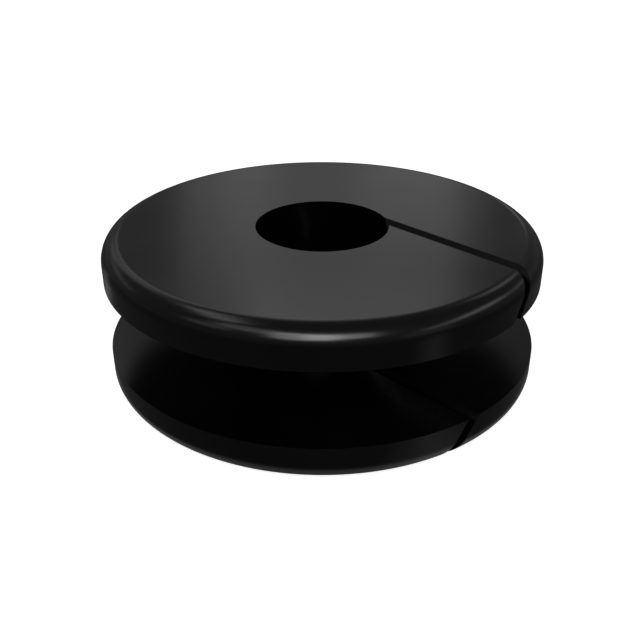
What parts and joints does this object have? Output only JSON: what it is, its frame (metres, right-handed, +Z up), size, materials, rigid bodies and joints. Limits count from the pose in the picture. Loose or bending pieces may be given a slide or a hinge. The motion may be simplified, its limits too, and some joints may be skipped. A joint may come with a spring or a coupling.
{
  "type": "rubber grommet",
  "caption": "Round rubber cable grommet with a flange on each side of a panel groove, a plain bore and a slanted slit through its wall.",
  "frame": {"origin": "centre of the flat underside, on the axis of the cable bore", "axes": "+Z up along the bore's axis; the slit opens halfway between +X and -Y, and its upper end leans towards +X and +Y"},
  "size_m": [0.0464, 0.0464, 0.016],
  "materials": {
    "rubber": "black moulded rubber with an even satin skin"
  },
  "bodies": {
    "root": {"grommet": "rubber"}
  },
  "joints": []
}
